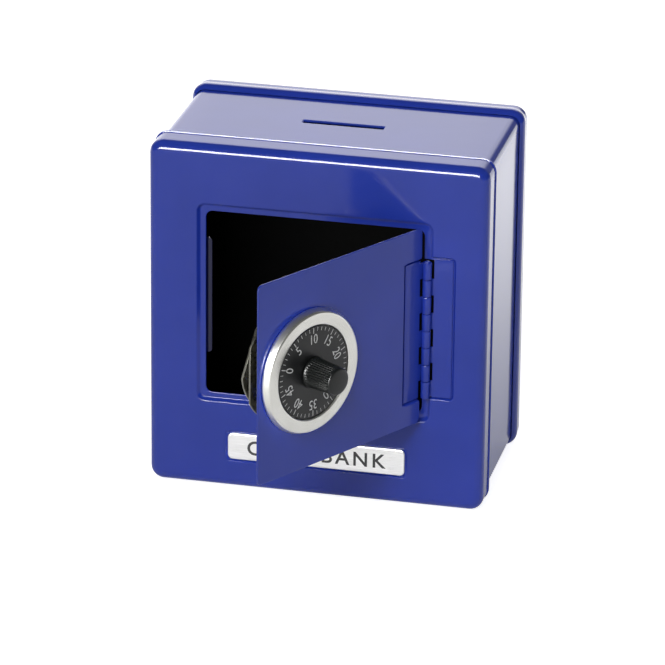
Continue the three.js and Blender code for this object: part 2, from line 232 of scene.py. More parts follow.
def grid(rows, around=True, keep=None, flip=False):
    """Quads through rows of equally many points; around joins each row's ends."""
    count = len(rows[0])
    faces = []
    for k in range(len(rows) - 1):
        for i in range(count if around else count - 1):
            j = (i + 1) % count
            corners = [rows[k][i], rows[k + 1][i], rows[k + 1][j], rows[k][j]]
            middle = sum((Vector(c) for c in corners), Vector()) / 4
            if keep is None or keep(middle):
                quad = [k * count + i, (k + 1) * count + i, (k + 1) * count + j, k * count + j]
                faces.append(quad[::-1] if flip else quad)
    return faces


def first_cap(rows):
    """One face over the first row of a grid."""
    return list(range(len(rows[0])))


def last_cap(rows):
    """One face over the last row of a grid."""
    count = len(rows[0])
    start = (len(rows) - 1) * count
    return [start + i for i in reversed(range(count))]


def mesh_of(name, rows, faces, closed, inner_faces=()):
    """A mesh in metres from rows of points, without loose points or doubled ones."""
    mesh = bpy.data.meshes.new(name)
    mesh.from_pydata([Vector(p) * MM for row in rows for p in row], [], faces)
    for index in inner_faces:
        mesh.polygons[index].material_index = 1
    work = bmesh.new()
    work.from_mesh(mesh)
    bmesh.ops.remove_doubles(work, verts=work.verts, dist=WELD)
    loose = [v for v in work.verts if not v.link_faces]
    bmesh.ops.delete(work, geom=loose, context="VERTS")
    if closed:
        bmesh.ops.recalc_face_normals(work, faces=work.faces)
    work.to_mesh(mesh)
    work.free()
    return mesh


def piece(mesh, materials, body, node=None, place=HERE, thickness=0, bevel=0, sharp=36):
    """Makes a mesh one visible piece of the object: thickened, bevelled, placed and named to the frame."""
    obj = bpy.data.objects.new(mesh.name, mesh)
    bpy.context.scene.collection.objects.link(obj)
    mesh.materials.clear()
    for material in materials:
        mesh.materials.append(material)
    if thickness:
        solidify = obj.modifiers.new("sheet", "SOLIDIFY")
        solidify.thickness = thickness * MM
        solidify.offset = -1
        solidify.material_offset = len(materials) - 1
        solidify.material_offset_rim = 0
    if bevel:
        soften = obj.modifiers.new("edges", "BEVEL")
        soften.width = bevel * MM
        soften.segments = 2
        soften.limit_method = "ANGLE"
        soften.angle_limit = math.radians(50)
    if thickness or bevel:
        ready = obj.evaluated_get(bpy.context.evaluated_depsgraph_get())
        obj.data = bpy.data.meshes.new_from_object(ready)
        obj.modifiers.clear()
        obj.data.name = mesh.name
    obj.data.polygons.foreach_set("use_smooth", [True] * len(obj.data.polygons))
    obj.data.set_sharp_from_angle(angle=math.radians(sharp))
    obj.matrix_world = place
    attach(obj, body)
    if node:
        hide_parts(node)
    return obj


def turned(name, profile, segments=96):
    """A turned mesh about the Y axis from (radius, height) pairs; height points outwards, towards -Y."""
    angles = [2 * math.pi * i / segments for i in range(segments)]
    closing = [profile[0]] if profile[0][0] > 0 else []
    rows = [[(r * math.cos(a), -h, r * math.sin(a)) for a in angles] for r, h in profile + closing]
    return mesh_of(name, rows, grid(rows), closed=True)


def curve_mesh(name, curve, place):
    """The mesh of a curve or text, in metres and moved to its place."""
    obj = bpy.data.objects.new(name, curve)
    bpy.context.scene.collection.objects.link(obj)
    ready = obj.evaluated_get(bpy.context.evaluated_depsgraph_get())
    mesh = bpy.data.meshes.new_from_object(ready)
    bpy.data.objects.remove(obj)
    mesh.transform(place)
    mesh.name = name
    work = bmesh.new()
    work.from_mesh(mesh)
    bmesh.ops.remove_doubles(work, verts=work.verts, dist=WELD)
    work.to_mesh(mesh)
    work.free()
    return mesh


UPRIGHT = Matrix.Rotation(math.pi / 2, 4, "X")     # drawn in XY, stood up to face outwards
CAPITAL_SHARE = 0.7     # height of a capital as a share of the font's size


def stamped(name, outlines, low, high, bevel):
    """A flat part cut from sheet: outlines in the XZ plane, holes included, between two depths along Y."""
    curve = bpy.data.curves.new(name, "CURVE")
    curve.dimensions = "2D"
    curve.fill_mode = "BOTH"
    curve.extrude = ((high - low) / 2 - bevel) * MM
    curve.bevel_depth = bevel * MM
    curve.bevel_resolution = 1
    curve.offset = -bevel * MM
    for outline in outlines:
        spline = curve.splines.new("POLY")
        spline.points.add(len(outline) - 1)
        for point, (x, z) in zip(spline.points, outline):
            point.co = (x * MM, z * MM, 0, 1)
        spline.use_cyclic_u = True
    place = Matrix.Translation((0, (low + high) / 2 * MM, 0)) @ UPRIGHT
    return curve_mesh(name, curve, place)


def lettering(name, words, height, place, narrow=1.0, spacing=1.0, raise_by=0.04, bolder=0.0):
    """Plain lettering as a thin raised mesh; height is that of a capital."""
    text = bpy.data.curves.new(name, "FONT")
    text.body = words
    text.size = height / CAPITAL_SHARE * MM
    text.align_x = "CENTER"
    text.space_character = spacing
    text.extrude = raise_by * MM
    text.offset = bolder * MM
    text.resolution_u = 4
    centre = Matrix.Translation((0, 0, -height / 2 * MM))
    return curve_mesh(name, text, place @ centre @ UPRIGHT @ Matrix.Diagonal((narrow, 1, 1, 1)))


def joined(name, meshes):
    """Several meshes as one."""
    work = bmesh.new()
    for mesh in meshes:
        work.from_mesh(mesh)
    result = bpy.data.meshes.new(name)
    work.to_mesh(result)
    work.free()
    return result


def box_mesh(name, low, high):
    """A plain block, used as a fold or a tick inside a larger piece."""
    corners = [(x, y, z) for x in (low[0], high[0]) for y in (low[1], high[1]) for z in (low[2], high[2])]
    faces = [(0, 1, 3, 2), (4, 6, 7, 5), (0, 4, 5, 1), (2, 3, 7, 6), (0, 2, 6, 4), (1, 5, 7, 3)]
    return mesh_of(name, [corners], faces, closed=True)


# -------- materials


class Shader:
    """A node tree with one Principled surface, built by short calls."""

    def __init__(self, name):
        self.material = bpy.data.materials.new(name)
        self.material.use_nodes = True
        self.tree = self.material.node_tree
        self.surface = self.tree.nodes["Principled BSDF"]

    def node(self, kind, **settings):
        made = self.tree.nodes.new("ShaderNode" + kind)
        for key, value in settings.items():
            setattr(made, key, value)
        return made

    def link(self, source, target):
        self.tree.links.new(source, target)

    def fixed(self, **values):
        for key, value in values.items():
            self.surface.inputs[key.replace("_", " ")].default_value = value

    def place(self):
        return self.node("TexCoord").outputs["Object"]

    def stretched(self, scale):
        """The place, scaled differently along each axis."""
        mapping = self.node("Mapping")
        mapping.inputs["Scale"].default_value = scale
        self.link(self.place(), mapping.inputs["Vector"])
        return mapping.outputs["Vector"]

    def noise(self, scale, detail=3.0, roughness=0.5, vector=None):
        made = self.node("TexNoise")
        made.inputs["Scale"].default_value = scale
        made.inputs["Detail"].default_value = detail
        made.inputs["Roughness"].default_value = roughness
        self.link(vector or self.place(), made.inputs["Vector"])
        return made.outputs["Fac"]

    def ranged(self, value, low, high, source=(0.3, 0.7)):
        """A value moved from its source range to another one."""
        made = self.node("MapRange")
        made.inputs["From Min"].default_value = source[0]
        made.inputs["From Max"].default_value = source[1]
        made.inputs["To Min"].default_value = low
        made.inputs["To Max"].default_value = high
        self.link(value, made.inputs["Value"])
        return made.outputs["Result"]

    def mixed(self, value, colour_a, colour_b):
        made = self.node("Mix", data_type="RGBA")
        self.link(value, made.inputs["Factor"])
        made.inputs[6].default_value = (*colour_a, 1)
        made.inputs[7].default_value = (*colour_b, 1)
        return made.outputs[2]

    def layered(self, value, under, colour):
        made = self.node("Mix", data_type="RGBA")
        self.link(value, made.inputs["Factor"])
        self.link(under, made.inputs[6])
        made.inputs[7].default_value = (*colour, 1)
        return made.outputs[2]

    def bumped(self, *layers):
        """Bump from (height, strength, distance in millimetres) layers, one over the other."""
        normal = None
        for height, strength, distance in layers:
            made = self.node("Bump")
            made.inputs["Strength"].default_value = strength
            made.inputs["Distance"].default_value = distance * MM
            self.link(height, made.inputs["Height"])
            if normal:
                self.link(normal, made.inputs["Normal"])
            normal = made.outputs["Normal"]
        self.link(normal, self.surface.inputs["Normal"])
        return normal

    def radius(self):
        """Distance from the Y axis of the piece's own frame, for turned marks."""
        split = self.node("SeparateXYZ")
        self.link(self.place(), split.inputs[0])
        flat = self.node("CombineXYZ")
        self.link(split.outputs["X"], flat.inputs["X"])
        self.link(split.outputs["Z"], flat.inputs["Y"])
        length = self.node("VectorMath", operation="LENGTH")
        self.link(flat.outputs[0], length.inputs[0])
        line = self.node("CombineXYZ")
        self.link(length.outputs["Value"], line.inputs["X"])
        return line.outputs[0]


SPECK_BLUE = (0.05, 0.08, 0.5)


def enamel_outside(name, dark, light):
    """Deep blue stoved enamel over tin: glossy, with faint orange peel, specks and slow colour changes."""
    s = Shader(name)
    slow = s.noise(22, detail=2)
    tone = s.mixed(s.ranged(slow, 0, 1), dark, light)
    specks = s.noise(2600, detail=2)
    colour = s.layered(s.ranged(specks, 0, 0.08, (0.62, 0.8)), tone, SPECK_BLUE)
    s.link(colour, s.surface.inputs["Base Color"])
    s.link(s.ranged(s.noise(300), 0.30, 0.40), s.surface.inputs["Roughness"])
    s.fixed(Specular_IOR_Level=0.0, Coat_Weight=1.0, Coat_Roughness=0.11, Coat_IOR=1.5)
    bump = s.bumped((s.noise(14, detail=1), 0.4, 0.05), (s.noise(700, detail=2), 0.3, 0.002))
    s.link(bump, s.surface.inputs["Coat Normal"])
    return s.material


def enamel_inside():
    """Thin black lacquer on the inner faces of the tin, made darker still as painted shade for the dark
    inside of the closed box.
    """
    s = Shader("black_lacquer_and_shade")
    tone = s.mixed(s.ranged(s.noise(60), 0, 1), (0.0006, 0.0012, 0.0012), (0.0014, 0.0022, 0.0022))
    s.link(tone, s.surface.inputs["Base Color"])
    s.link(s.ranged(s.noise(240), 0.5, 0.66), s.surface.inputs["Roughness"])
    s.fixed(Specular_IOR_Level=0.03)
    s.bumped((s.noise(900), 0.3, 0.01))
    return s.material


def turned_metal(name, dark, light, rough):
    """Metal with fine concentric tool marks and light handling stains."""
    s = Shader(name)
    marks = s.noise(9000, detail=2, vector=s.radius())
    stain = s.noise(90, detail=4)
    tone = s.mixed(s.ranged(stain, 0, 1), dark, light)
    s.link(tone, s.surface.inputs["Base Color"])
    s.link(s.ranged(marks, rough - 0.05, rough + 0.07), s.surface.inputs["Roughness"])
    s.fixed(Metallic=1.0)
    s.bumped((marks, 0.25, 0.012), (s.noise(2400), 0.2, 0.004))
    return s.material


def brushed_plate():
    """Pale satin aluminium, brushed along its length."""
    s = Shader("plate_satin")
    grain = s.noise(1, detail=3, vector=s.stretched((160, 900, 5200)))
    tone = s.mixed(s.ranged(grain, 0, 1), (0.84, 0.84, 0.82), (0.93, 0.93, 0.92))
    s.link(tone, s.surface.inputs["Base Color"])
    s.link(s.ranged(grain, 0.26, 0.36), s.surface.inputs["Roughness"])
    s.fixed(Metallic=1.0)
    s.bumped((grain, 0.2, 0.008))
    return s.material


def plated(name, dark, light, rough):
    """Zinc plate with passivation stains in soft clouds."""
    s = Shader(name)
    clouds = s.noise(120, detail=5, roughness=0.6)
    tone = s.mixed(s.ranged(clouds, 0, 1), dark, light)
    s.link(tone, s.surface.inputs["Base Color"])
    s.link(s.ranged(s.noise(900), rough - 0.06, rough + 0.08), s.surface.inputs["Roughness"])
    s.fixed(Metallic=1.0)
    s.bumped((s.noise(1500), 0.25, 0.01), (s.noise(160), 0.3, 0.03))
    return s.material


def moulded(name, dark, light, rough, grain):
    """Black moulded plastic with a fine grain."""
    s = Shader(name)
    tone = s.mixed(s.ranged(s.noise(70), 0, 1), dark, light)
    s.link(tone, s.surface.inputs["Base Color"])
    s.link(s.ranged(s.noise(1200), rough - 0.05, rough + 0.06), s.surface.inputs["Roughness"])
    s.bumped((s.noise(3200, detail=2), 0.3, grain))
    return s.material


def printed(name, dark, light):
    """Printing ink, slightly uneven."""
    s = Shader(name)
    tone = s.mixed(s.ranged(s.noise(1800), 0, 1), dark, light)
    s.link(tone, s.surface.inputs["Base Color"])
    s.link(s.ranged(s.noise(900), 0.45, 0.6), s.surface.inputs["Roughness"])
    return s.material


ENAMEL = enamel_outside("blue_enamel_gloss", (0.020, 0.052, 0.46), (0.027, 0.062, 0.53))
# a darker copy of the blue enamel for the strike bracket: painted shade for its place inside the opening
PAINTED_SHADE_ENAMEL = enamel_outside("blue_enamel_painted_shade", (0.006, 0.007, 0.055), (0.009, 0.010, 0.075))
# the inner faces' near-black colour is black lacquer and also painted shade for the dark inside of the box
LACQUER_AND_SHADE = enamel_inside()
BEZEL_METAL = turned_metal("bezel_turned", (0.83, 0.83, 0.78), (0.90, 0.90, 0.86), 0.30)
BRASS = turned_metal("brass_turned", (0.50, 0.36, 0.14), (0.62, 0.46, 0.20), 0.30)
STEEL = plated("zinc_plated", (0.28, 0.27, 0.22), (0.42, 0.40, 0.33), 0.32)
DISC_STEEL = plated("disc_zinc", (0.16, 0.15, 0.11), (0.30, 0.30, 0.27), 0.30)
PLATE_METAL = brushed_plate()
DIAL_BLACK = moulded("dial_plastic", (0.010, 0.011, 0.012), (0.016, 0.018, 0.019), 0.34, 0.006)
KNOB_BLACK = moulded("knob_plastic", (0.004, 0.006, 0.006), (0.009, 0.012, 0.011), 0.34, 0.006)
DIAL_WHITE = printed("dial_print", (0.72, 0.74, 0.74), (0.86, 0.87, 0.87))
PLATE_INK = printed("plate_print", (0.010, 0.010, 0.012), (0.022, 0.022, 0.026))

# -------- cabinet

# points along the panel's sides step finely over the ends of the hinge pocket and of the plate's tray
HINGE_KNOTS = runs((49.2, 50.8, 3), (51.0, 54.4, 18), (58, 112, 10), (115.5, 118.9, 18), (119.1, 121, 3))
TRAY_KNOTS = runs((-43, -41, 3), (-40.7, -37.3, 15), (-32, 32, 9), (38.4, 41.8, 15), (42.1, 43.6, 3))
PANEL_KNOTS = {"right": HINGE_KNOTS, "bottom": TRAY_KNOTS}


def pan_edge(face_y, direction, radius):
    """(grow, y) pairs from a pan's face round its fillet to the start of its flange."""
    return [(radius * (s - 1), face_y + direction * radius * (1 - c)) for s, c in quarter(12)]


def curled_edge(end_y):
    """(grow, y) pairs over the curled rear edge of the front pan."""
    return [
        (0, end_y - 2.6), (0, end_y - 1.78), (0.015, end_y - 1.75), (0.045, end_y - 1.74),
        (0.09, end_y - 1.725), (0.36, end_y - 1.635), (0.405, end_y - 1.62), (0.435, end_y - 1.61),
        (0.47, end_y - 1.56), (BEAD, end_y - 1.4), (BEAD, end_y - 0.8), (0.36, end_y - 0.4),
        (0.1, end_y - 0.1), (-0.2, end_y), (-0.8, end_y), (-LIP, end_y),
    ]


def front_panel_rows():
    """Rings from the opening's edge over the recess and the face to the curled edge."""
    rows = []
    for s, c in quarter(3):
        y = RECESS_DEPTH + OPENING_ROLL * (1 - s)
        rows.append(rect_ring(OPENING, OPENING_ROLL * (1 - c), y, PANEL_KNOTS))
    rows.append(rect_ring(OPENING, OPENING_ROLL + 0.15, RECESS_DEPTH, PANEL_KNOTS))
    for t in runs((0, 1, 11)):
        grow = blend(-RECESS_IN, RECESS_OUT, t)
        rows.append(rect_ring(RECESS, grow, RECESS_DEPTH * (1 - smoothstep(t)), PANEL_KNOTS))
    # over the flat face the rings step finely across the pocket's right edge and the tray's long edges
    right = runs((51.6, HINGE_CUT["x1"], 2), (54, 58.5, 4), (59.2, 61.8, 14), (63, 70.2, 7))
    right.append(PAN["x1"] - FILLET)
    bottom = runs((39.6, 30, 4), (28.1, 26.9, 9), (24, 18, 3), (14, 12.8, 9), (10, 5.6, 2))
    bottom.append(PAN["z0"] + FILLET)
    first = {
        "x0": RECESS["x0"] - RECESS_OUT, "z1": RECESS["z1"] + RECESS_OUT,
        "corner": RECESS["corner"] + RECESS_OUT,
    }
    last = {"x0": PAN["x0"] + FILLET, "z1": PAN["z1"] - FILLET, "corner": PAN["corner"] - FILLET}
    for i, (x1, z0) in enumerate(zip(right, bottom)):
        edge = {key: blend(first[key], last[key], (i + 1) / len(right)) for key in first}
        rows.append(rect_ring({**edge, "x1": x1, "z0": z0}, 0, 0, PANEL_KNOTS))
    edge_profile = pan_edge(0, 1, FILLET)[1:] + [(0, FILLET + 0.5)] + curled_edge(PANEL_HIGH.y)
    rows += [rect_ring(PAN, grow, y, PANEL_KNOTS) for grow, y in edge_profile]
    return rows


def pressed(point):
    """A point of the front panel after the hinge pocket and the plate's tray are pressed in."""
    x, y, z = point
    on_face = y < FILLET and inside(x, z, PAN) > FILLET - 0.1
    if on_face and x > OPENING["x1"] + 0.5:
        y = max(y, press_depth(x, z, POCKET, POCKET_DEPTH))
    if on_face and z < RECESS["z0"] - 1:
        y = max(y, press_depth(x, z, TRAY, TRAY_DEPTH, 0.3, 0.6))
    return x, y, z


def outside_hinge_cut(middle):
    """False where the opening is cut wider for the hinge's knuckles."""
    in_x = 0 < middle.x < HINGE_CUT["x1"]
    in_z = HINGE_CUT["z0"] < middle.z < HINGE_CUT["z1"]
    return not (in_x and in_z)


def make_front_panel():
    rows = [[pressed(p) for p in row] for row in front_panel_rows()]
    mesh = mesh_of("front_pan", rows, grid(rows, keep=outside_hinge_cut), closed=False)
    piece(mesh, [ENAMEL, LACQUER_AND_SHADE], "cabinet", "front_panel", thickness=TIN)


def make_rear_panel():
    """A pan whose flange begins with a sloped shoulder and a rounded bead."""
    front = REAR_LOW.y
    foot = math.radians(SHOULDER_SLOPE)
    radius = (LIP + BEAD) / (1 - math.sin(foot))
    crest = front + radius * math.cos(foot)
    profile = [(-LIP, front + 0.6)]
    for angle in runs((foot, math.pi / 2, 11)):
        profile.append((BEAD - radius * (1 - math.sin(angle)), crest - radius * math.cos(angle)))
    profile += [(BEAD - 0.02, crest + 0.5), (0.42, crest + 1.2), (0.28, crest + 2.0), (0.12, crest + 2.8),
                (0.03, crest + 3.6), (0, crest + 4.4), (0, REAR_HIGH.y - REAR_FILLET - 0.5)]
    profile += reversed(pan_edge(REAR_HIGH.y, -1, REAR_FILLET))
    rows = [rect_ring(PAN, grow, y) for grow, y in profile]
    rows += [rect_ring(PAN, -REAR_FILLET - inset, REAR_HIGH.y) for inset in (0.6, 4, 12, 26, 44)]
    mesh = mesh_of("rear_pan", rows, grid(rows) + [last_cap(rows)], closed=False)
    piece(mesh, [ENAMEL, LACQUER_AND_SHADE], "cabinet", "rear_panel", thickness=TIN)


def slot_softened(point):
    """A point of the sleeve's top after the coin slot's edge is turned in and its ends rounded."""
    x, y, z = point
    if z < SLEEVE_HIGH.z - 0.01:
        return point
    out_x = max(SLOT["x0"] - x, x - SLOT["x1"])
    out_y = max(SLOT["y0"] - y, y - SLOT["y1"])
    beyond = math.hypot(max(out_x, 0), max(out_y, 0))
    z -= 0.5 * (1 - smoothstep((beyond + 0.05) / 0.75))
    if abs(out_y) < 0.01 and -SLOT_ROUND < out_x < 0.01:
        pull = 0.75 * (1 - min(1, -out_x / SLOT_ROUND)) ** 2
        y += pull if y < (SLOT["y0"] + SLOT["y1"]) / 2 else -pull
    return x, y, z


def outside_slot(middle):
    """False over the coin slot."""
    in_x = SLOT["x0"] < middle.x < SLOT["x1"]
    in_y = SLOT["y0"] < middle.y < SLOT["y1"]
    return not (in_x and in_y and middle.z > SLEEVE_HIGH.z - 2)


def make_sleeve():
    """The wrapped sheet between the pans; its points step finely round the coin slot."""
    across = runs((22, 19.6, 3), (19.3, 18.7, 4), (18.4, 17.8, 3), (12, -10.4, 5), (-16.2, -16.8, 3),
                  (-17.1, -17.7, 4), (-18, -20.4, 3))
    along = runs((SLEEVE_LOW.y, 40, 5), (43, 44, 3), (44.2, SLOT["y0"], 3), (45.6, 46.8, 3),
                 (SLOT["y1"], 48.2, 3), (48.4, 49.4, 3), (54, SLEEVE_HIGH.y, 5))
    grow = SLEEVE_LOW.x - PAN["x0"]
    rows = [[slot_softened(p) for p in rect_ring(PAN, -grow, y, {"top": across})] for y in along]
    mesh = mesh_of("sleeve_wrap", rows, grid(rows, keep=outside_slot), closed=False)
    piece(mesh, [ENAMEL, LACQUER_AND_SHADE], "cabinet", "body_sleeve", thickness=TIN)


def make_strike():
    """A strip with a foot behind the panel and a set-back lip, rounded at the lip's ends."""
    front = STRIKE_LOW.y
    lip = front + STRIKE_SET_BACK
    tip = STRIKE_HIGH.x
    path = [(STRIKE_LOW.x, front), (-54, front), (STRIKE_STEP - 1.1, front)]
    path += [(STRIKE_STEP - 1 + 1.1 * t, blend(front, lip, smoothstep(t))) for t in runs((0, 1, 7))]
    path += [(x, lip) for x in runs((STRIKE_STEP + 0.4, tip - 0.3, 5))]
    path += [(tip - 0.1, lip + 0.05), (tip, lip + 0.2)]
    levels = runs((0, STRIKE_CORNER, 8), (8, 46, 5), (STRIKE_LENGTH - STRIKE_CORNER, STRIKE_LENGTH, 8))
    lip_start = STRIKE_STEP + 0.3
    rows = []
    for level in levels:
        missing = max(STRIKE_CORNER - min(level, STRIKE_LENGTH - level), 0)
        pull = STRIKE_CORNER - math.sqrt(max(STRIKE_CORNER ** 2 - missing ** 2, 0))
        row = []
        for x, y in path:
            share = min(max((x - lip_start) / (tip - lip_start), 0), 1)
            row.append((x - pull * share, y, STRIKE_LOW.z + level))
        rows.append(row)
    mesh = mesh_of("strike_keeper", rows, grid(rows, around=False, flip=True), closed=False)
    # the bracket takes the darker copy of the enamel, painted shade
    piece(mesh, [PAINTED_SHADE_ENAMEL], "cabinet", "strike_bracket", thickness=0.9, bevel=0.12)


def make_name_plate():
    """A flat plate with a rounded front edge, and the words on it."""
    rect = {
        "x0": PLATE_LOW.x, "x1": PLATE_HIGH.x, "z0": PLATE_LOW.z, "z1": PLATE_HIGH.z,
        "corner": PLATE_CORNER,
    }
    front, back = PLATE_LOW.y, PLATE_HIGH.y
    profile = [(-1.2, front), (-0.75, front)]
    wide, deep = PLATE_EDGE["round"], PLATE_EDGE["drop"]
    profile += [(wide * (s - 1), front + deep * (1 - c)) for s, c in quarter(6)]
    profile += [(0, back - 0.1), (-0.1, back), (-1.2, back)]
    rows = [rect_ring(rect, grow, y) for grow, y in profile]
    mesh = mesh_of("plate_blank", rows, grid(rows) + [first_cap(rows), last_cap(rows)], closed=True)
    piece(mesh, [PLATE_METAL], "cabinet", "name_plate")
    middle = Vector(((rect["x0"] + rect["x1"]) / 2, front - 0.02, (rect["z0"] + rect["z1"]) / 2))
    words = lettering("plate_words", PLATE_WORDS, PLATE_WORD_HEIGHT, Matrix.Translation(middle * MM),
                      spacing=1.3, bolder=0.14)
    piece(words, [PLATE_INK], "cabinet")


# -------- hinge


def knuckle_spans(first):
    """(low, high) of every second knuckle, counted from the top."""
    top = KNUCKLE["bottom"] + KNUCKLE["length"] * KNUCKLE["count"]
    spans = []
    for i in range(first, KNUCKLE["count"], 2):
        high = top - i * KNUCKLE["length"] - KNUCKLE["gap"]
        spans.append((high - KNUCKLE["length"] + 2 * KNUCKLE["gap"], high))
    return spans


def make_leaf(name, node, body, place, side, first, reach):
    """A sheet leaf whose edge is cut into tongues that curl round the pin."""
    radius = KNUCKLE["radius"]
    path = [(x, LEAF_BACK) for x in runs((reach, LEAF_NEAR, 4), (LEAF_NEAR - 0.6, 0.3, 4))]
    for degrees in runs((CURL["start"], CURL["end"], CURL["points"])):
        angle = math.radians(degrees)
        path.append((radius * math.cos(angle), radius * math.sin(angle)))
    spans = knuckle_spans(first)
    levels = sorted({LEAF_LOW.z, LEAF_HIGH.z} | {z for span in spans for z in span})
    rows = [[(side * x, y, z) for x, y in path] for z in levels]

    def kept(middle):
        if side * middle.x > LEAF_NEAR:
            return LEAF_LOW.z < middle.z < LEAF_HIGH.z
        return any(low < middle.z < high for low, high in spans)

    mesh = mesh_of(name, rows, grid(rows, around=False, keep=kept, flip=side > 0), closed=False)
    piece(mesh, [ENAMEL], body, node, place, thickness=LEAF_THICK, bevel=0.14)


def make_pin():
    low = KNUCKLE["bottom"] - PIN["below"]
    high = KNUCKLE["bottom"] + KNUCKLE["length"] * KNUCKLE["count"] + PIN["above"]
    outline = [(0, low), (PIN["radius"], low), (PIN["radius"], high), (0, high)]
    profile = rounded(outline, PIN["round"], closed=False)
    upright = Matrix.Rotation(-math.pi / 2, 4, "X")
    piece(turned("pin_wire", profile, 32), [ENAMEL], "cabinet", "hinge_pin",
          HINGE_FRAME @ upright)


# -------- door


def door_shaped(point):
    """A point of the door after the hinge pocket is pressed in and the hinge notch cut."""
    x, y, z = point
    y += press_depth(x, z, DOOR_POCKET, DOOR_POCKET_DEPTH)
    if x > DOOR_NOTCH["from"] and DOOR_NOTCH["z0"] < z < DOOR_NOTCH["z1"]:
        x -= DOOR_NOTCH["depth"] * (x - DOOR_NOTCH["from"]) / (DOOR["x1"] - DOOR_NOTCH["from"])
    return x, y, z


def make_door():
    """A flat sheet: rings from its middle out over the front, round the cut edge and back behind."""
    knots = {"right": HINGE_KNOTS}
    first = {"x0": -92, "z0": 46.5, "z1": 126, "corner": 0.6}
    last = {
        "x0": DOOR["x0"] + DOOR_EDGE, "z0": DOOR["z0"] + DOOR_EDGE, "z1": DOOR["z1"] - DOOR_EDGE,
        "corner": DOOR["corner"] - DOOR_EDGE,
    }
    right = runs((-15, -12.4, 3), (-11.8, -8.6, 17), (-7, -4.5, 3)) + [DOOR["x1"] - DOOR_EDGE]
    face = []
    for i, x1 in enumerate(right):
        edge = {key: blend(first[key], last[key], i / (len(right) - 1)) for key in first}
        face.append({**edge, "x1": x1})
    back = DOOR_FRONT + DOOR_SHEET
    rows = [rect_ring(rect, 0, DOOR_FRONT, knots) for rect in face]
    rows += [rect_ring(DOOR, DOOR_EDGE * (s - 1), DOOR_FRONT + DOOR_EDGE * (1 - c), knots)
             for s, c in quarter(4)[1:]]
    rows += [rect_ring(DOOR, DOOR_EDGE * (c - 1), back - DOOR_EDGE * (1 - s), knots)
             for s, c in quarter(4)]
    first_back = len(rows) - 1
    rows += [rect_ring(rect, 0, back, knots) for rect in reversed(face[:-1])]
    rows = [[door_shaped(p) for p in row] for row in rows]
    faces = grid(rows)
    inner = list(range(first_back * len(rows[0]), len(faces))) + [len(faces) + 1]
    faces += [first_cap(rows), last_cap(rows)]
    mesh = mesh_of("door_leaf", rows, faces, closed=True, inner_faces=inner)
    piece(mesh, [ENAMEL, LACQUER_AND_SHADE], "door", "door_panel", DOOR_FRAME)


# -------- dial and lock

# heights are measured outwards from the hinge's plane, just in front of the door's face
BEZEL = {"outer": 27.6, "bore": 20.9, "hole": 9, "back": -0.3, "floor": 0.5, "top": 3.4}
SCREW_CIRCLE = 24.2
SCREW_TURNS = (90, 210, 330)
DIAL = {"radius": 20.5, "hole": 2.4, "back": 1.8, "top": 2.8}
DIVISIONS = 50
TOP_NUMBER = 10         # stands at the top while the part rests
TICK = {"outer": 19.9, "major": (17.4, 0.36), "minor": (18.3, 0.24)}    # inner end and width
NUMBER = {"circle": 14.9, "height": 4.3}
KNOB = {"bottom": 3.1, "top": 18.3, "radius": 6.5, "taper": 0.4}
FLUTES = {"count": 36, "depth": 0.36, "from": 4.4, "to": 17.3, "segments": 432}
DISC = {"radius": 26, "flat": 22.8, "thickness": 1, "bore": 2.4}
DRIVE_DISC = {"radius": 22.7, "flat": 20, "thickness": 1, "bore": 2.4}
BORE = 2.3              # of the bush, the collars, the washer and the spindle's nut


def make_bezel():
    outer, bore, hole = BEZEL["outer"], BEZEL["bore"], BEZEL["hole"]
    back, floor, top = BEZEL["back"], BEZEL["floor"], BEZEL["top"]
    profile = rounded([
        (hole, back), (outer, back), (outer, 0.7), (outer - 0.85, 2.9), (outer - 1.6, top),
        (bore + 0.6, top - 0.05), (bore, 3.0), (bore, floor), (hole, floor),
    ], 0.35)
    piece(turned("bezel_ring", profile, 128), [BEZEL_METAL], "door", "dial_bezel",
          LOCK_FRAME)


def make_screws():
    """Pan-head screws from behind the door into the bezel."""
    for i, degrees in enumerate(SCREW_TURNS):
        angle = math.radians(degrees)
        spot = Vector((SCREW_CIRCLE * math.cos(angle), 0, SCREW_CIRCLE * math.sin(angle)))
        outline = [(0, -3), (1.5, -3), (2.2, -2.4), (2.2, -1.8), (0.85, -1.8), (0.85, 2), (0, 2)]
        profile = rounded(outline, 0.3, closed=False)
        piece(turned(f"screw_{i + 1}_pan_head", profile, 32), [STEEL], "door", f"bezel_screw_{i + 1}",
              LOCK_FRAME @ Matrix.Translation(spot * MM))


def make_dial():
    hole, radius, back, top = DIAL["hole"], DIAL["radius"], DIAL["back"], DIAL["top"]
    outline = [(hole, back), (radius, back), (radius, top - 0.12), (radius - 0.2, top), (hole, top)]
    profile = rounded(outline, 0.08, 2)
    piece(turned("dial_face", profile, 128), [DIAL_BLACK], "dial", "dial_disc", LOCK_FRAME)


def make_dial_print():
    """The white scale: fifty divisions, numbered every five, clockwise."""
    marks = []
    surface = -DIAL["top"]
    for value in range(DIVISIONS):
        angle = math.radians(90 - 360 / DIVISIONS * (value - TOP_NUMBER))
        major = value % 5 == 0
        inner, width = TICK["major"] if major else TICK["minor"]
        tick = box_mesh("tick", (inner, surface - 0.03, -width / 2),
                        (TICK["outer"], surface + 0.02, width / 2))
        tick.transform(Matrix.Rotation(-angle, 4, "Y"))
        marks.append(tick)
        if major:
            reach = NUMBER["circle"]
            centre = Vector((reach * math.cos(angle), surface, reach * math.sin(angle)))
            place = Matrix.Translation(centre * MM) @ Matrix.Rotation(math.pi / 2 - angle, 4, "Y")
            marks.append(lettering("number", str(value), NUMBER["height"], place, narrow=0.82,
                                   raise_by=0.03))
    piece(joined("dial_scale", marks), [DIAL_WHITE], "dial", place=LOCK_FRAME)


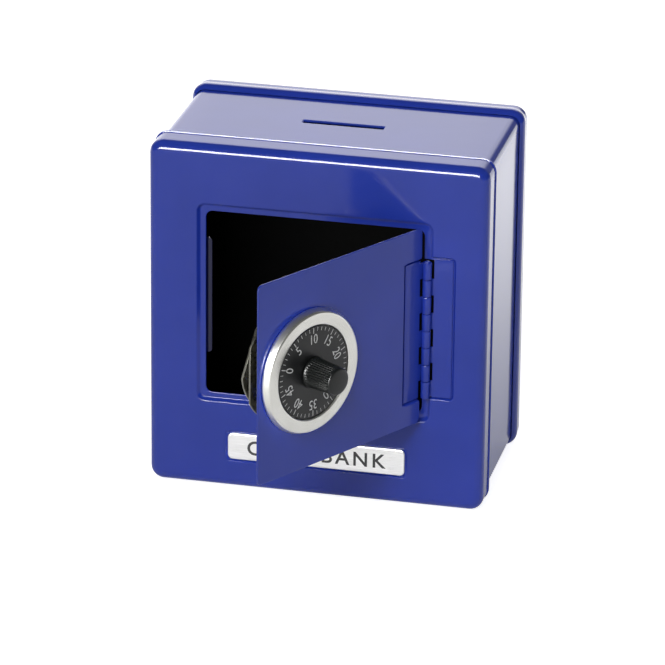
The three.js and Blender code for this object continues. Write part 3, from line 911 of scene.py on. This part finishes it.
def make_knob():
    """A tapered knob with a flared foot, fine flutes and a slightly domed cap."""
    bottom, top = KNOB["bottom"], KNOB["top"]
    outline = [(0, bottom), (5, bottom), (6.7, bottom), (6.9, 3.25), (6.9, 3.7), (6.8, 4.0), (6.6, 4.3)]
    outline += [(KNOB["radius"] - KNOB["taper"] * t, blend(4.8, 17, t)) for t in runs((0, 1, 18))]
    outline += [(6.05, 17.2), (5.88, 17.52), (5.6, 17.78), (5.1, 17.94), (3.6, 18.12), (1.8, 18.25)]
    outline.append((0, top))
    rows = []
    for radius, height in outline:
        fade_in = smoothstep((height - FLUTES["from"]) / 0.6)
        fade_out = smoothstep((FLUTES["to"] - height) / 0.5)
        row = []
        for i in range(FLUTES["segments"]):
            angle = 2 * math.pi * i / FLUTES["segments"]
            cut = (0.5 - 0.5 * math.cos(FLUTES["count"] * angle)) ** 1.5
            r = radius - FLUTES["depth"] * fade_in * fade_out * cut
            row.append((r * math.cos(angle), -height, r * math.sin(angle)))
        rows.append(row)
    mesh = mesh_of("fluted_knob", rows, grid(rows), closed=True)
    piece(mesh, [KNOB_BLACK], "dial", "dial_knob", LOCK_FRAME, sharp=60)


def hole_outline(radius, count):
    """A circle that runs the other way round than a rim."""
    angles = [-2 * math.pi * i / count for i in range(count)]
    return [(radius * math.cos(a), radius * math.sin(a)) for a in angles]


def spun(points, degrees):
    """Points turned about the centre."""
    a = math.radians(degrees)
    return [(x * math.cos(a) - z * math.sin(a), x * math.sin(a) + z * math.cos(a)) for x, z in points]


def make_lock_disc(name, node, body, sizes, flat_at, window_at, depth, fold_side):
    """A stamped disc with a flat, a triangular window and the tongue bent out of it."""
    radius = sizes["radius"]
    half = math.acos(sizes["flat"] / radius)
    rim = [(radius * math.cos(a), radius * math.sin(a)) for a in runs((half, 2 * math.pi - half, 96))]
    window = [(radius - 3.2, 2.6), (radius - 9.5, 2.6), (radius - 5.2, -5.4)]
    outlines = [spun(rim, flat_at), hole_outline(sizes["bore"], 40), spun(window, window_at)]
    half_thick = sizes["thickness"] / 2
    disc = stamped(name, outlines, depth - half_thick, depth + half_thick, 0.1)
    near, far = (depth - 3.1, depth) if fold_side < 0 else (depth, depth + 3.1)
    fold = box_mesh("fold", (radius - 9.3, near, 2.3), (radius - 3.4, far, 3.1))
    work = bmesh.new()
    work.from_mesh(fold)
    bmesh.ops.bevel(work, geom=work.edges[:], offset=0.22 * MM, segments=2, affect="EDGES", profile=0.5)
    work.to_mesh(fold)
    work.free()
    fold.transform(Matrix.Rotation(-math.radians(window_at), 4, "Y"))
    piece(joined(name, [disc, fold]), [DISC_STEEL], body, node, LOCK_FRAME)


def make_collar(name, node, outer, low, high, metal):
    """A plain ring on the spindle between two heights."""
    profile = rounded([(BORE, low), (outer, low), (outer, high), (BORE, high)], 0.25, 3)
    piece(turned(name, profile, 64), [metal], "dial", node, LOCK_FRAME)


def make_nut(name, node, body, across, bore, low, high):
    """A hexagon nut between two heights, with its edges broken."""
    corner = across / math.sqrt(3)
    hexagon = [(corner * math.cos(math.radians(60 * i)), corner * math.sin(math.radians(60 * i)))
               for i in range(6)]
    mesh = stamped(name, [hexagon, hole_outline(bore, 32)], -high, -low, 0.18)
    piece(mesh, [STEEL], body, node, LOCK_FRAME)


def make_lock():
    """The spindle's bearing in the door, the spindle, and what sits on it, from the door backwards."""
    outline = [(BORE, -4.2), (4.5, -4.2), (4.5, -0.3), (8.5, -0.3), (8.5, 0.9), (BORE, 0.9)]
    bush = rounded(outline, 0.2, 3)
    piece(turned("bush_turned", bush, 64), [BRASS], "door", "spindle_bush", LOCK_FRAME)
    make_nut("bush_hex", "bush_nut", "door", 13, 4.8, -3.8, -1.8)
    shaft = rounded([(0, -22.5), (2, -22.5), (2, 12), (0, 12)], 0.4, closed=False)
    piece(turned("spindle_rod", shaft, 48), [STEEL], "dial", "spindle", LOCK_FRAME)
    for place, low, high in (("front", -6.7, -4.5), ("middle", -11.4, -8.3), ("rear", -16.2, -13)):
        make_collar(f"collar_{place}", f"spacer_{place}", 5, low, high, BRASS)
    make_collar("washer_spring", "spring_washer", 5.5, -18.8, -17.8, STEEL)
    make_nut("spindle_hex", "spindle_nut", "dial", 8, BORE, -21.8, -19.1)
    make_lock_disc("disc_front", "wheel_front", "front_disc", DISC, 180, -150, 7.5, 1)
    make_lock_disc("disc_middle", "wheel_middle", "middle_disc", DISC, 180, -35, 12.2, 1)
    make_lock_disc("disc_drive", "wheel_drive", "dial", DRIVE_DISC, 158, -162, 17, -1)


# -------- stage, lights and camera


# degrees, metres and, for the lens and the sensor, millimetres
CAMERA = {
    "turn": 12.78, "tilt": 21.93, "roll": 0.65, "distance": 2.09943, "pan_right": -0.00182,
    "pan_up": 0.05595, "lens": 253.5315, "sensor": 36, "far": 50,
}
CAMERA_TARGET = Vector((0, 0.044, 0.0005))


def make_camera():
    """The camera looks at the object from the front, from its right and a little above."""
    turn, tilt, roll = (math.radians(CAMERA[key]) for key in ("turn", "tilt", "roll"))
    back = Vector((math.sin(turn) * math.cos(tilt), -math.cos(turn) * math.cos(tilt), math.sin(tilt)))
    right = (-back).cross(Vector((0, 0, 1))).normalized()
    up = right.cross(-back)
    x_axis = right * math.cos(roll) + up * math.sin(roll)
    y_axis = up * math.cos(roll) - right * math.sin(roll)
    spot = CAMERA_TARGET + back * CAMERA["distance"]
    spot += x_axis * CAMERA["pan_right"] + y_axis * CAMERA["pan_up"]
    data = bpy.data.cameras.new("camera")
    data.sensor_width = CAMERA["sensor"]
    data.lens = CAMERA["lens"]
    data.clip_end = CAMERA["far"]
    camera = bpy.data.objects.new("camera", data)
    bpy.context.scene.collection.objects.link(camera)
    camera.matrix_world = Matrix((
        (x_axis.x, y_axis.x, back.x, spot.x), (x_axis.y, y_axis.y, back.y, spot.y),
        (x_axis.z, y_axis.z, back.z, spot.z), (0, 0, 0, 1),
    ))
    bpy.context.scene.camera = camera


def value_node(tree, operation, first, second=0.0):
    """The result of one calculation on two values, each a number or a socket."""
    made = tree.nodes.new("ShaderNodeMath")
    made.operation = operation
    for socket, value in zip(made.inputs, (first, second)):
        if isinstance(value, (int, float)):
            socket.default_value = value
        else:
            tree.links.new(value, socket)
    return made.outputs[0]


def ramp_node(tree, value, low, high, out_low, out_high):
    """A smooth step of a value from one range to another."""
    made = tree.nodes.new("ShaderNodeMapRange")
    made.interpolation_type = "SMOOTHSTEP"
    tree.links.new(value, made.inputs["Value"])
    for key, number in (("From Min", low), ("From Max", high), ("To Min", out_low), ("To Max", out_high)):
        made.inputs[key].default_value = number
    return made.outputs["Result"]


BACKDROP = 2.0          # brightness of the field behind the object that lights it
DIM = 0.08              # brightness of the rest of the studio
SEEN = 1.0              # brightness of the background in the picture
# glow of the table where it is mirrored in front of and behind the object, scattered, and seen
TABLE_GLOW = {"mirror_front": 0.30, "mirror_behind": 1.45, "scatter": 0.04, "seen": 0.88}


def make_world():
    """A dim studio with a bright backdrop behind the object, and plain white where the camera looks."""
    world = bpy.data.worlds.new("studio")
    bpy.context.scene.world = world
    world.use_nodes = True
    tree = world.node_tree
    split = tree.nodes.new("ShaderNodeSeparateXYZ")
    tree.links.new(tree.nodes.new("ShaderNodeTexCoord").outputs["Generated"], split.inputs[0])
    x_squared = value_node(tree, "MULTIPLY", split.outputs["X"], split.outputs["X"])
    y_squared = value_node(tree, "MULTIPLY", split.outputs["Y"], split.outputs["Y"])
    flat = value_node(tree, "SQRT", value_node(tree, "ADD", x_squared, y_squared))
    facing = value_node(tree, "DIVIDE", split.outputs["Y"], value_node(tree, "MAXIMUM", flat, 0.001))
    across = ramp_node(tree, facing, 0.45, 0.8, 0, 1)
    below = ramp_node(tree, split.outputs["Z"], 0.55, 0.75, 1, 0)
    left = ramp_node(tree, split.outputs["X"], 0.08, 0.30, 1, 0.08)
    lit = value_node(tree, "MULTIPLY", value_node(tree, "MULTIPLY", across, below), left)
    strength = value_node(tree, "ADD", value_node(tree, "MULTIPLY", lit, BACKDROP), DIM)
    sky = tree.nodes["Background"]
    tree.links.new(strength, sky.inputs["Strength"])
    sky.inputs["Color"].default_value = (1.0, 0.985, 0.965, 1)
    plain = tree.nodes.new("ShaderNodeBackground")
    plain.inputs["Strength"].default_value = SEEN
    mix = tree.nodes.new("ShaderNodeMixShader")
    tree.links.new(tree.nodes.new("ShaderNodeLightPath").outputs["Is Camera Ray"], mix.inputs[0])
    tree.links.new(sky.outputs[0], mix.inputs[1])
    tree.links.new(plain.outputs[0], mix.inputs[2])
    tree.links.new(mix.outputs[0], tree.nodes["World Output"].inputs["Surface"])


def stage_plane(name, corners, material):
    """One flat face that belongs to the studio and not to the object."""
    mesh = bpy.data.meshes.new(name)
    mesh.from_pydata(corners, [], [(0, 1, 2, 3)])
    mesh.materials.append(material)
    obj = bpy.data.objects.new(name, mesh)
    bpy.context.scene.collection.objects.link(obj)
    return obj


def make_floor():
    """A white table that glows a little, more so behind the object, so that it stays plain white."""
    material = bpy.data.materials.new("white_table")
    material.use_nodes = True
    tree = material.node_tree
    surface = tree.nodes["Principled BSDF"]
    surface.inputs["Base Color"].default_value = (0.8, 0.8, 0.8, 1)
    surface.inputs["Roughness"].default_value = 0.9
    surface.inputs["Specular IOR Level"].default_value = 0
    split = tree.nodes.new("ShaderNodeSeparateXYZ")
    tree.links.new(tree.nodes.new("ShaderNodeTexCoord").outputs["Object"], split.inputs[0])
    behind = ramp_node(tree, split.outputs["Y"], 0.0, 0.5, TABLE_GLOW["mirror_front"],
                       TABLE_GLOW["mirror_behind"])
    path = tree.nodes.new("ShaderNodeLightPath")
    mirrored = value_node(tree, "MULTIPLY", path.outputs["Is Glossy Ray"], behind)
    scattered = value_node(tree, "MULTIPLY", path.outputs["Is Diffuse Ray"], TABLE_GLOW["scatter"])
    direct = value_node(tree, "MULTIPLY", path.outputs["Is Camera Ray"], TABLE_GLOW["seen"])
    glow = value_node(tree, "ADD", direct, value_node(tree, "MAXIMUM", mirrored, scattered))
    tree.links.new(glow, surface.inputs["Emission Strength"])
    surface.inputs["Emission Color"].default_value = (1, 1, 1, 1)
    reach = 6
    corners = [(-reach, -reach, 0), (reach, -reach, 0), (reach, reach, 0), (-reach, reach, 0)]
    stage_plane("floor", corners, material)


STRIP = {"x0": -1.35, "x1": 0.45, "y": -2.2, "low": 0.35, "high": 1.15, "strength": 30}


def make_strip():
    """A low, wide light in front that only glossy surfaces see, for the bright lines on the edges."""
    material = bpy.data.materials.new("strip_glow")
    material.use_nodes = True
    tree = material.node_tree
    tree.nodes.remove(tree.nodes["Principled BSDF"])
    glow = tree.nodes.new("ShaderNodeEmission")
    glow.inputs["Strength"].default_value = STRIP["strength"]
    tree.links.new(glow.outputs[0], tree.nodes["Material Output"].inputs["Surface"])
    corners = [(STRIP[x], STRIP["y"], STRIP[z])
               for x, z in (("x0", "low"), ("x1", "low"), ("x1", "high"), ("x0", "high"))]
    strip = stage_plane("strip", corners, material)
    strip.visible_camera = False
    strip.visible_diffuse = False
    strip.visible_shadow = False


# name, place, power in watts, size and colour
LIGHTS = (
    ("front_soft", (-0.2, -1.9, 1.75), 30, 1.1, (1.0, 0.99, 0.98)),
    ("right_soft", (2.0, -0.5, 1.1), 1.5, 0.9, (0.97, 0.98, 1.0)),
)
LIT_SPOT = Vector((0, 0.04, 0.08))


def make_lights():
    """Two soft lights that no glossy surface mirrors."""
    for name, spot, power, size, colour in LIGHTS:
        data = bpy.data.lights.new(name, "AREA")
        data.energy = power
        data.size = size
        data.color = colour
        light = bpy.data.objects.new(name, data)
        bpy.context.scene.collection.objects.link(light)
        light.location = spot
        aim = LIT_SPOT - Vector(spot)
        light.rotation_euler = aim.to_track_quat("-Z", "Y").to_euler()
        light.visible_glossy = False


# -------- assembly

make_camera()
make_world()
make_floor()
make_strip()
make_lights()
bpy.context.scene.view_settings.view_transform = "Standard"

make_front_panel()
make_rear_panel()
make_sleeve()
make_strike()
make_name_plate()
make_leaf("leaf_on_frame", "hinge_leaf_frame", "cabinet", HINGE_FRAME, 1, 1, LEAF_REACH["frame"])
make_leaf("leaf_on_door", "hinge_leaf_door", "door", DOOR_FRAME, -1, 0, LEAF_REACH["door"])
make_pin()
make_door()
make_bezel()
make_screws()
make_dial()
make_dial_print()
make_knob()
make_lock()

bpy.context.view_layer.update()
